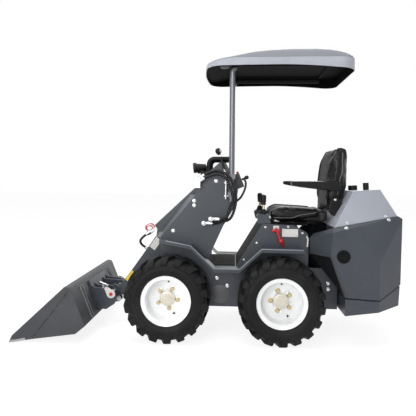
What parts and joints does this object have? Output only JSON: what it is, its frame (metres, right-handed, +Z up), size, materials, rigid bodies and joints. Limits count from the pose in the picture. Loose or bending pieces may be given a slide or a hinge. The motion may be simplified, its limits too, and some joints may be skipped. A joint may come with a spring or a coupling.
{
  "type": "compact yard loader",
  "caption": "Compact rigid-frame yard loader with a central lifting boom, tilting bucket, open seat under a post-mounted canopy and a faceted rear engine housing.",
  "frame": {"origin": "centre of the bounding box at ground level", "axes": "+X forward towards the bucket, +Y to the machine's left, +Z up"},
  "size_m": [2.646, 1.08, 2.0804],
  "materials": {
    "body_paint": "satin dark grey paint",
    "hood_paint": "satin light grey paint",
    "bucket_paint": "matt dark grey paint",
    "black_paint": "satin black paint",
    "rim_white": "gloss white paint",
    "lamp_white": "clear lamp lens in a pale body",
    "roof_plastic": "moulded grey plastic",
    "black_plastic": "grained black plastic",
    "seat_vinyl": "black vinyl",
    "rubber_mat": "ribbed black rubber",
    "hose_rubber": "black hydraulic hose",
    "tyre": "black tyre rubber",
    "cast_grey": "cast iron",
    "engine_castings": "engine castings and sheet",
    "bright_steel": "turned steel",
    "zinc": "zinc plated steel",
    "chrome_rod": "hard chrome"
  },
  "bodies": {
    "chassis": {"chassis_tub": "body_paint", "tower_frames": "body_paint", "tower_cover_left": "body_paint", "tower_cover_right": "body_paint", "tower_bulkhead": "body_paint", "boom_pin": "bright_steel", "mudguards": "body_paint", "floor_mat": "rubber_mat", "wheel_motors": "cast_grey", "seat_box_sides": "body_paint", "seat_box_front": "body_paint", "consoles": "black_plastic", "joysticks": "black_plastic", "seat_base": "black_paint", "seat_cushion": "seat_vinyl", "seat_back": "seat_vinyl", "armrests": "seat_vinyl", "engine_block": "engine_castings", "rear_side_left": "body_paint", "rear_side_right": "body_paint", "rear_panel": "body_paint", "hood": "hood_paint", "counterweight": "body_paint", "filler_caps": "black_plastic", "canopy_frame": "black_paint", "canopy_roof": "roof_plastic", "canopy_lining": "black_plastic", "grab_bar": "black_plastic", "work_lamps": "lamp_white", "tower_hoses": "hose_rubber", "hose_fittings": "zinc"},
    "boom": {"boom": "body_paint", "boom_couplers": "zinc", "boom_hose": "hose_rubber"},
    "lift_barrel": {"lift_barrel": "black_paint"},
    "lift_rod": {"lift_rod": "chrome_rod"},
    "tilt_barrel": {"tilt_barrel": "black_paint"},
    "tilt_rod": {"tilt_rod": "chrome_rod"},
    "bucket": {"hitch": "body_paint", "hitch_pins": "bright_steel", "bucket": "bucket_paint"},
    "wheel_front_left": {"tyre_front_left": "tyre", "rim_front_left": "rim_white"},
    "wheel_front_right": {"tyre_front_right": "tyre", "rim_front_right": "rim_white"},
    "wheel_rear_left": {"tyre_rear_left": "tyre", "rim_rear_left": "rim_white"},
    "wheel_rear_right": {"tyre_rear_right": "tyre", "rim_rear_right": "rim_white"}
  },
  "joints": [
    {"name": "spin_front_left", "type": "hinge", "parent": "chassis", "child": "wheel_front_left", "pos_m": [0.272, 0.402, 0.292], "axis": [0, 1, 0], "continuous": true},
    {"name": "spin_front_right", "type": "hinge", "parent": "chassis", "child": "wheel_front_right", "pos_m": [0.272, -0.402, 0.292], "axis": [0, 1, 0], "continuous": true},
    {"name": "spin_rear_left", "type": "hinge", "parent": "chassis", "child": "wheel_rear_left", "pos_m": [-0.498, 0.402, 0.292], "axis": [0, 1, 0], "continuous": true},
    {"name": "spin_rear_right", "type": "hinge", "parent": "chassis", "child": "wheel_rear_right", "pos_m": [-0.498, -0.402, 0.292], "axis": [0, 1, 0], "continuous": true},
    {"name": "boom_lift", "type": "hinge", "parent": "chassis", "child": "boom", "pos_m": [-0.06, 0, 1.085], "axis": [0, -1, 0], "range_deg": [0, 80]},
    {"name": "bucket_tilt", "type": "hinge", "parent": "boom", "child": "bucket", "pos_m": [0.718, 0, 0.258], "axis": [0, 1, 0], "range_deg": [-25, 88]},
    {"name": "lift_barrel_swing", "type": "hinge", "parent": "chassis", "child": "lift_barrel", "pos_m": [0.12, 0, 0.35], "axis": [0, -1, 0], "range_deg": [-14, 2]},
    {"name": "lift_rod_slide", "type": "slide", "parent": "lift_barrel", "child": "lift_rod", "axis": [-0.183, 0, 0.9831], "range_m": [-0.002, 0.19]},
    {"name": "tilt_barrel_swing", "type": "hinge", "parent": "boom", "child": "tilt_barrel", "pos_m": [0.35, 0, 0.6], "axis": [0, -1, 0], "range_deg": [-2, 2]},
    {"name": "tilt_rod_slide", "type": "slide", "parent": "tilt_barrel", "child": "tilt_rod", "axis": [0.6437, 0, -0.7653], "range_m": [-0.11, 0.04]}
  ],
  "couplings": [
    {"joint": "lift_barrel_swing", "follows": "boom_lift", "ratio": -0.145},
    {"joint": "lift_rod_slide", "follows": "boom_lift", "m_per_rad": 0.124},
    {"joint": "tilt_barrel_swing", "follows": "bucket_tilt", "ratio": -0.01},
    {"joint": "tilt_rod_slide", "follows": "bucket_tilt", "m_per_rad": -0.06}
  ]
}
